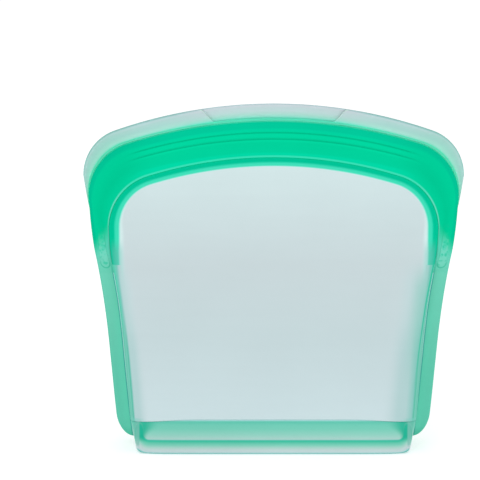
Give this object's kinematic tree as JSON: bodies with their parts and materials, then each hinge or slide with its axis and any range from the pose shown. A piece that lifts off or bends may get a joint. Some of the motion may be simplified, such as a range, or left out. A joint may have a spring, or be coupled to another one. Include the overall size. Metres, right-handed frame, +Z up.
{
  "type": "reusable silicone storage bag",
  "caption": "Stand-up silicone food bag with a flat base, clear tapered walls, side fins, arched bands, a press zip and a pull lip, whose two mouth halves swing open.",
  "frame": {"origin": "centre of the flat underside of the base, on the surface the bag stands on", "axes": "+X to the right seen from the front, along the bag's width; -Y is the front, with the finger notch; +Z up"},
  "size_m": [0.1894, 0.0348, 0.1755],
  "materials": {
    "clear_silicone": "frosted translucent",
    "green_silicone": "satin, opaque",
    "thin_green_silicone": "frosted translucent",
    "tinted_clear_silicone": "frosted translucent",
    "base_silicone": "frosted translucent"
  },
  "bodies": {
    "pouch": {"base_tray": "base_silicone", "front_lower_panel": "clear_silicone", "rear_lower_panel": "clear_silicone", "front_left_side_wall": "thin_green_silicone", "front_right_side_wall": "thin_green_silicone", "rear_left_side_wall": "thin_green_silicone", "rear_right_side_wall": "thin_green_silicone", "front_left_fin": "thin_green_silicone", "front_right_fin": "thin_green_silicone", "rear_left_fin": "thin_green_silicone", "rear_right_fin": "thin_green_silicone"},
    "front_mouth": {"front_band": "green_silicone", "front_rim": "green_silicone", "front_upper_panel": "clear_silicone", "front_lip": "tinted_clear_silicone", "front_zip_track": "green_silicone"},
    "rear_mouth": {"rear_band": "green_silicone", "rear_rim": "green_silicone", "rear_upper_panel": "clear_silicone", "rear_lip": "tinted_clear_silicone", "rear_zip_track": "green_silicone"}
  },
  "joints": [
    {"name": "front_mouth_hinge", "type": "hinge", "parent": "pouch", "child": "front_mouth", "pos_m": [0, 0, 0.103], "axis": [1, 0, 0], "range_deg": [0, 25], "stiffness_Nm_per_rad": 0.15},
    {"name": "rear_mouth_hinge", "type": "hinge", "parent": "pouch", "child": "rear_mouth", "pos_m": [0, 0, 0.103], "axis": [-1, 0, 0], "range_deg": [0, 25], "stiffness_Nm_per_rad": 0.15}
  ]
}
